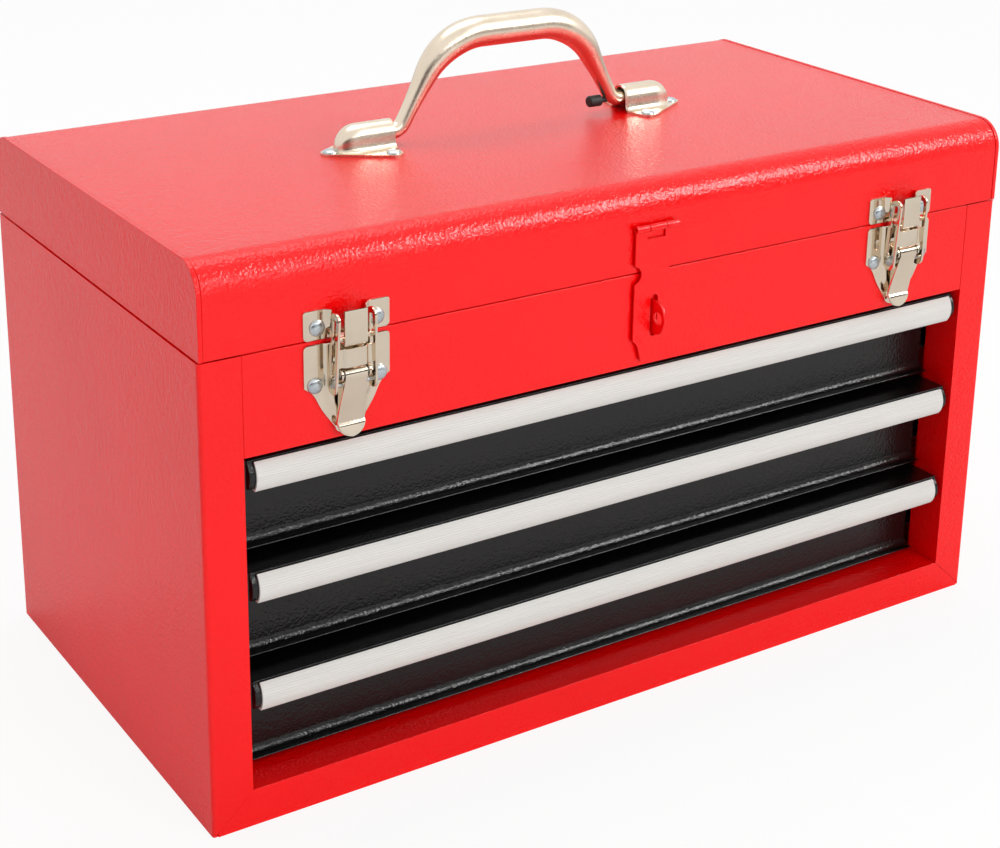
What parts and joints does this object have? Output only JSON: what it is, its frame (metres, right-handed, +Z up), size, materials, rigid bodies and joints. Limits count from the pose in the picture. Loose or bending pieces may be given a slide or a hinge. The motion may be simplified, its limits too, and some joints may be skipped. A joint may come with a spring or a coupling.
{
  "type": "portable tool chest",
  "caption": "Portable steel tool box: hinged lid over a top till, ribbed-trim drawers below, draw latches, slotted hasp for a padlock and a swinging top handle.",
  "frame": {"origin": "middle of the body's footprint, on the surface it stands on", "axes": "+X along the width to the right seen from the front, +Y to the back (the drawers face -Y), +Z up"},
  "size_m": [0.52, 0.2909, 0.373],
  "materials": {
    "red_paint": "glossy powder coat with a fine orange-peel grain",
    "black_paint": "semi-gloss black with a fine leather grain",
    "trim_metal": "satin, finely ribbed along its length",
    "nickel_plate": "bright nickel plate over steel",
    "zinc": "bright zinc plate",
    "black_rubber": "matt moulded rubber"
  },
  "bodies": {
    "case": {"side_panel_left": "red_paint", "side_panel_right": "red_paint", "bottom_panel": "red_paint", "front_panel": "red_paint", "back_panel": "red_paint", "till_floor": "red_paint", "hinge_leaf_body": "zinc", "hinge_pin": "zinc", "hasp_staple": "red_paint", "runner_left_1": "zinc", "runner_right_1": "zinc", "runner_left_2": "zinc", "runner_right_2": "zinc", "runner_left_3": "zinc", "runner_right_3": "zinc", "latch_base_left": "nickel_plate", "latch_base_rivets_left": "zinc", "latch_lever_pin_left": "zinc", "latch_base_right": "nickel_plate", "latch_base_rivets_right": "zinc", "latch_lever_pin_right": "zinc"},
    "lid": {"lid_shell": "red_paint", "lid_end_left": "red_paint", "lid_end_right": "red_paint", "hinge_leaf_lid": "zinc", "hasp_leaf": "red_paint", "hasp_pin": "red_paint", "handle_bracket_left": "nickel_plate", "handle_bracket_right": "nickel_plate", "handle_rivets": "zinc", "latch_strike_left": "nickel_plate", "latch_strike_rivets_left": "zinc", "latch_strike_right": "nickel_plate", "latch_strike_rivets_right": "zinc"},
    "handle": {"handle_bar": "nickel_plate", "handle_stop": "black_rubber"},
    "hasp": {"hasp_plate": "red_paint"},
    "left_lever": {"latch_lever_left": "nickel_plate", "latch_link_pin_left": "zinc"},
    "left_link": {"latch_link_left": "nickel_plate"},
    "right_lever": {"latch_lever_right": "nickel_plate", "latch_link_pin_right": "zinc"},
    "right_link": {"latch_link_right": "nickel_plate"},
    "drawer_1": {"drawer_1_tray": "black_paint", "drawer_1_trim": "trim_metal", "drawer_1_slides": "zinc"},
    "drawer_2": {"drawer_2_tray": "black_paint", "drawer_2_trim": "trim_metal", "drawer_2_slides": "zinc"},
    "drawer_3": {"drawer_3_tray": "black_paint", "drawer_3_trim": "trim_metal", "drawer_3_slides": "zinc"}
  },
  "joints": [
    {"name": "lid_hinge", "type": "hinge", "parent": "case", "child": "lid", "pos_m": [0, 0.1391, 0.2573], "axis": [-1, 0, 0], "range_deg": [0, 95]},
    {"name": "handle_swing", "type": "hinge", "parent": "lid", "child": "handle", "pos_m": [0, 0, 0.313], "axis": [1, 0, 0], "range_deg": [-86, 86]},
    {"name": "hasp_swing", "type": "hinge", "parent": "lid", "child": "hasp", "pos_m": [0.004, -0.1393, 0.2827], "axis": [-1, 0, 0], "range_deg": [0, 165]},
    {"name": "left_lever_turn", "type": "hinge", "parent": "case", "child": "left_lever", "pos_m": [-0.1815, -0.1443, 0.24], "axis": [-1, 0, 0], "range_deg": [0, 100]},
    {"name": "left_link_turn", "type": "hinge", "parent": "left_lever", "child": "left_link", "pos_m": [-0.1815, -0.1431, 0.2344], "axis": [1, 0, 0], "range_deg": [0, 115]},
    {"name": "right_lever_turn", "type": "hinge", "parent": "case", "child": "right_lever", "pos_m": [0.1815, -0.1443, 0.24], "axis": [-1, 0, 0], "range_deg": [0, 100]},
    {"name": "right_link_turn", "type": "hinge", "parent": "right_lever", "child": "right_link", "pos_m": [0.1815, -0.1431, 0.2344], "axis": [1, 0, 0], "range_deg": [0, 115]},
    {"name": "drawer_1_slide", "type": "slide", "parent": "case", "child": "drawer_1", "axis": [0, -1, 0], "range_m": [0, 0.2]},
    {"name": "drawer_2_slide", "type": "slide", "parent": "case", "child": "drawer_2", "axis": [0, -1, 0], "range_m": [0, 0.2]},
    {"name": "drawer_3_slide", "type": "slide", "parent": "case", "child": "drawer_3", "axis": [0, -1, 0], "range_m": [0, 0.2]}
  ],
  "couplings": [
    {"joint": "left_link_turn", "follows": "left_lever_turn", "ratio": 1.15},
    {"joint": "right_link_turn", "follows": "right_lever_turn", "ratio": 1.15}
  ]
}
